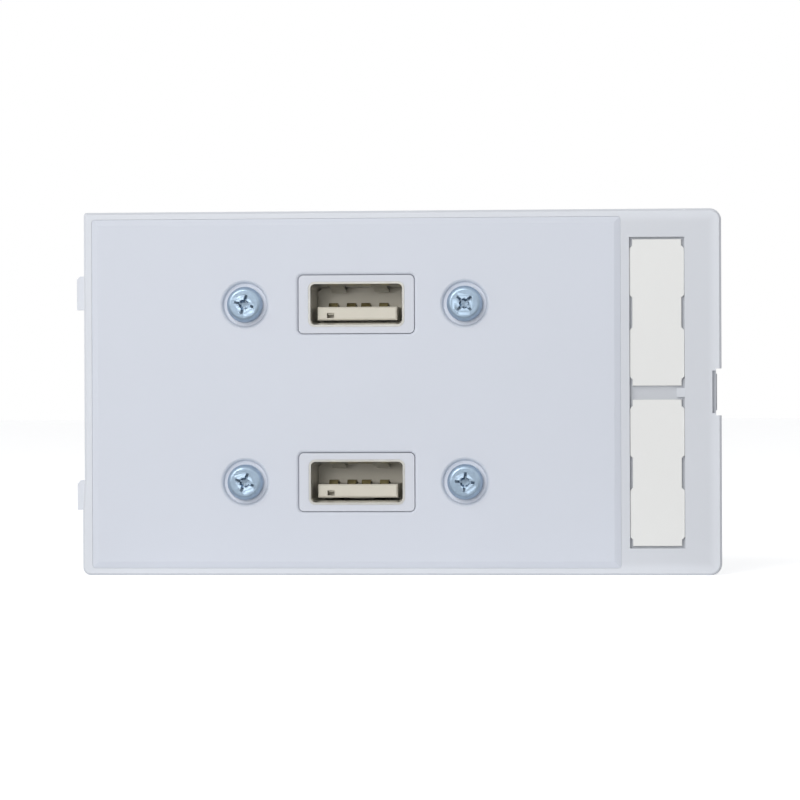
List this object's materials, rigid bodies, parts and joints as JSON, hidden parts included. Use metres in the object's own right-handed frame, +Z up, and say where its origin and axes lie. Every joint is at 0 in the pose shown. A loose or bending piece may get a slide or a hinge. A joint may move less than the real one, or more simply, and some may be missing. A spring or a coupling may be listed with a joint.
{
  "type": "panel mount usb connector",
  "caption": "Snap-in panel insert with screwed-in USB type A couplers, a raised face plate and a strip for marker labels.",
  "frame": {"origin": "centre of the panel cut-out, in the plane that the rear of the flange seats on", "axes": "+X to the right along the long side, +Y into the panel, +Z up; the sockets face -Y"},
  "size_m": [0.0888, 0.0334, 0.05],
  "materials": {
    "frame_plastic": "satin moulded",
    "plate_plastic": "satin moulded",
    "label_plastic": "smooth moulded",
    "coupler_plastic": "satin moulded",
    "zinc_steel": "bright blue zinc plate",
    "insert_brass": "turned",
    "shell_steel": "nickel plated sheet",
    "insulator_plastic": "cream moulded",
    "contact_metal": "gold flash",
    "board_laminate": "green laminate"
  },
  "bodies": {
    "root": {"carrier_frame": "frame_plastic", "face_plate": "plate_plastic", "upper_label": "label_plastic", "lower_label": "label_plastic", "upper_coupler_body": "coupler_plastic", "upper_link_board": "board_laminate", "upper_front_shell": "shell_steel", "upper_front_insulator": "insulator_plastic", "upper_front_contact_1": "contact_metal", "upper_front_contact_2": "contact_metal", "upper_front_contact_3": "contact_metal", "upper_front_contact_4": "contact_metal", "upper_rear_shell": "shell_steel", "upper_rear_insulator": "insulator_plastic", "upper_rear_contact_1": "contact_metal", "upper_rear_contact_2": "contact_metal", "upper_rear_contact_3": "contact_metal", "upper_rear_contact_4": "contact_metal", "upper_left_screw": "zinc_steel", "upper_left_threaded_insert": "insert_brass", "upper_right_screw": "zinc_steel", "upper_right_threaded_insert": "insert_brass", "lower_coupler_body": "coupler_plastic", "lower_link_board": "board_laminate", "lower_front_shell": "shell_steel", "lower_front_insulator": "insulator_plastic", "lower_front_contact_1": "contact_metal", "lower_front_contact_2": "contact_metal", "lower_front_contact_3": "contact_metal", "lower_front_contact_4": "contact_metal", "lower_rear_shell": "shell_steel", "lower_rear_insulator": "insulator_plastic", "lower_rear_contact_1": "contact_metal", "lower_rear_contact_2": "contact_metal", "lower_rear_contact_3": "contact_metal", "lower_rear_contact_4": "contact_metal", "lower_left_screw": "zinc_steel", "lower_left_threaded_insert": "insert_brass", "lower_right_screw": "zinc_steel", "lower_right_threaded_insert": "insert_brass"}
  },
  "joints": []
}
